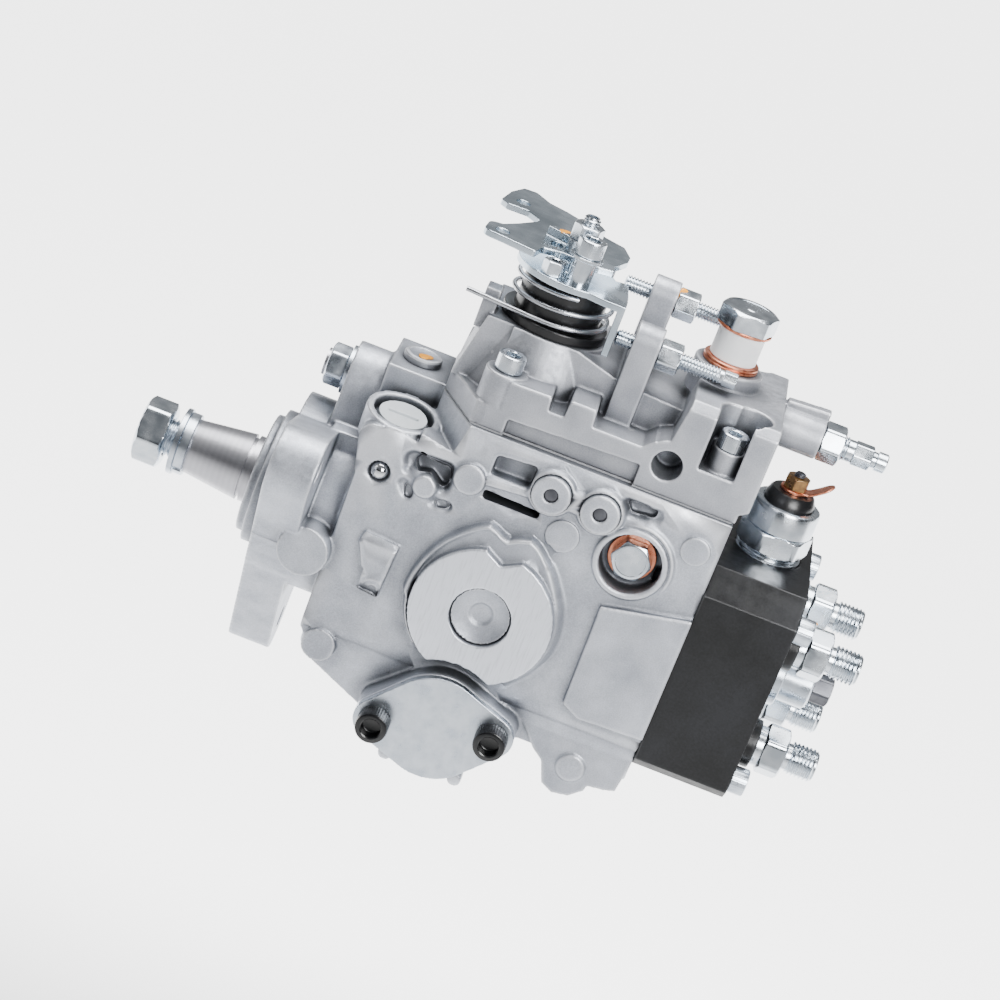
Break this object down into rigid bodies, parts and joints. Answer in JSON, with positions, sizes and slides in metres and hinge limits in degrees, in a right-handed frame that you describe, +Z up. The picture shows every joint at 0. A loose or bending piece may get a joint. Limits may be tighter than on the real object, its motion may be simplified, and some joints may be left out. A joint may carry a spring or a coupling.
{
  "type": "diesel injection pump",
  "caption": "Distributor injection pump with tapered drive shaft, flange, governor cover with throttle lever, black head with pipe outlets and stop solenoid.",
  "frame": {"origin": "drive axis at the flange's mounting face", "axes": "+X along the drive axis to the outlets, +Z up to the throttle lever, -Y the side with the fuel inlet"},
  "size_m": [0.269, 0.1227, 0.207],
  "materials": {
    "cast_aluminium": "bead-blasted die casting",
    "cover_aluminium": "warm grey die casting",
    "black_head": "black oxide",
    "zinc_steel": "bright zinc plate",
    "machined_steel": "turned steel",
    "dark_steel": "hardened steel, oiled",
    "spring_steel": "drawn wire",
    "black_caps": "moulded black",
    "black_plastic": "moulded black",
    "white_plastic": "moulded white",
    "rubber": "moulded",
    "copper": "soft copper",
    "yellow_brass": "plain",
    "gasket": "fibre sheet"
  },
  "bodies": {
    "drive": {"drive_shaft": "machined_steel", "shaft_key": "machined_steel", "shaft_nut": "zinc_steel", "shaft_washers": "zinc_steel", "vane_rotor": "dark_steel", "drive_gear": "dark_steel", "cross_disc": "dark_steel", "cam_plate": "dark_steel", "plunger": "machined_steel"},
    "governor": {"governor_cage": "dark_steel"},
    "sleeve": {"governor_sleeve": "machined_steel"},
    "lever": {"governor_lever": "zinc_steel", "governor_spring": "spring_steel"},
    "spill": {"spill_ring": "machined_steel"},
    "ring": {"roller_ring": "dark_steel"},
    "piston": {"timer_piston": "machined_steel"},
    "throttle": {"throttle_shaft": "machined_steel", "lower_lever": "zinc_steel", "upper_lever": "zinc_steel", "lever_fasteners": "zinc_steel"},
    "armature": {"solenoid_armature": "machined_steel"},
    "weight_1": {"flyweight_1": "dark_steel"},
    "weight_2": {"flyweight_2": "dark_steel"},
    "weight_3": {"flyweight_3": "dark_steel"},
    "weight_4": {"flyweight_4": "dark_steel"},
    "pump_body": {"pump_housing": "cast_aluminium", "governor_cover": "cover_aluminium", "hydraulic_head": "black_head", "spring_carrier": "black_plastic", "return_spring": "spring_steel", "shaft_bush": "yellow_brass", "seals": "rubber", "vane_ring": "dark_steel", "vane_pump_cover": "dark_steel", "governor_shaft": "machined_steel", "governor_shaft_nut": "zinc_steel", "timer_spring": "spring_steel", "timer_covers": "zinc_steel", "timer_screws": "black_caps", "spring_bridge": "dark_steel", "plunger_springs": "spring_steel", "head_screws": "zinc_steel", "delivery_holders": "zinc_steel", "delivery_valves": "machined_steel", "central_plug": "zinc_steel", "vent_bolt": "black_head", "solenoid_body": "zinc_steel", "solenoid_insulator": "black_plastic", "solenoid_terminal": "copper", "cover_gasket": "gasket", "cover_screws": "zinc_steel", "adjuster_screws": "zinc_steel", "adjuster_lock_nuts": "zinc_steel", "banjo_bolt": "zinc_steel", "copper_washers": "copper", "return_sleeve": "white_plastic", "inlet_plug": "white_plastic", "ball_plug": "machined_steel", "access_plug": "zinc_steel", "regulating_valve": "zinc_steel"}
  },
  "joints": [
    {"name": "drive_spin", "type": "hinge", "parent": "pump_body", "child": "drive", "pos_m": [0, 0, 0], "axis": [1, 0, 0], "continuous": true},
    {"name": "governor_spin", "type": "hinge", "parent": "pump_body", "child": "governor", "pos_m": [0.06, 0.0035, 0.04787], "axis": [1, 0, 0], "continuous": true},
    {"name": "flyweight_1", "type": "hinge", "parent": "governor", "child": "weight_1", "pos_m": [0.0705, 0.0035, 0.06487], "axis": [0, 1, 0], "range_deg": [0, 20]},
    {"name": "flyweight_2", "type": "hinge", "parent": "governor", "child": "weight_2", "pos_m": [0.0705, -0.0135, 0.04787], "axis": [0, 0, 1], "range_deg": [0, 20]},
    {"name": "flyweight_3", "type": "hinge", "parent": "governor", "child": "weight_3", "pos_m": [0.0705, 0.0035, 0.03087], "axis": [0, -1, 0], "range_deg": [0, 20]},
    {"name": "flyweight_4", "type": "hinge", "parent": "governor", "child": "weight_4", "pos_m": [0.0705, 0.0205, 0.04787], "axis": [0, 0, -1], "range_deg": [0, 20]},
    {"name": "governor_sleeve", "type": "slide", "parent": "governor", "child": "sleeve", "axis": [1, 0, 0], "range_m": [0, 0.00314], "stiffness_N_per_m": 4000, "springref_m": -0.003},
    {"name": "governor_lever", "type": "hinge", "parent": "pump_body", "child": "lever", "pos_m": [0.112, 0, 0.027], "axis": [0, 1, 0], "range_deg": [0, 8.7]},
    {"name": "spill_ring", "type": "slide", "parent": "pump_body", "child": "spill", "axis": [1, 0, 0], "range_m": [-0.0023, 0]},
    {"name": "timer_piston", "type": "slide", "parent": "pump_body", "child": "piston", "axis": [0, 1, 0], "range_m": [0, 0.006], "stiffness_N_per_m": 8000, "springref_m": -0.003},
    {"name": "roller_ring", "type": "hinge", "parent": "pump_body", "child": "ring", "pos_m": [0.084, 0, 0], "axis": [1, 0, 0], "range_deg": [0, 7.4]},
    {"name": "throttle_lever", "type": "hinge", "parent": "pump_body", "child": "throttle", "pos_m": [0.072, 0, 0.11], "axis": [0, 0, 1], "range_deg": [-36, 0], "stiffness_Nm_per_rad": 0.5, "springref_deg": 34.38},
    {"name": "stop_armature", "type": "slide", "parent": "pump_body", "child": "armature", "axis": [0, 0, 1], "range_m": [0, 0.0015], "stiffness_N_per_m": 1500, "springref_m": -0.003}
  ],
  "couplings": [
    {"joint": "governor_spin", "follows": "drive_spin", "ratio": -1.3704},
    {"joint": "flyweight_1", "follows": "governor_sleeve", "rad_per_m": 111.11},
    {"joint": "flyweight_2", "follows": "governor_sleeve", "rad_per_m": 111.11},
    {"joint": "flyweight_3", "follows": "governor_sleeve", "rad_per_m": 111.11},
    {"joint": "flyweight_4", "follows": "governor_sleeve", "rad_per_m": 111.11},
    {"joint": "governor_lever", "follows": "governor_sleeve", "rad_per_m": 47.911},
    {"joint": "spill_ring", "follows": "governor_sleeve", "ratio": -0.71866},
    {"joint": "roller_ring", "follows": "timer_piston", "rad_per_m": 21.277}
  ]
}
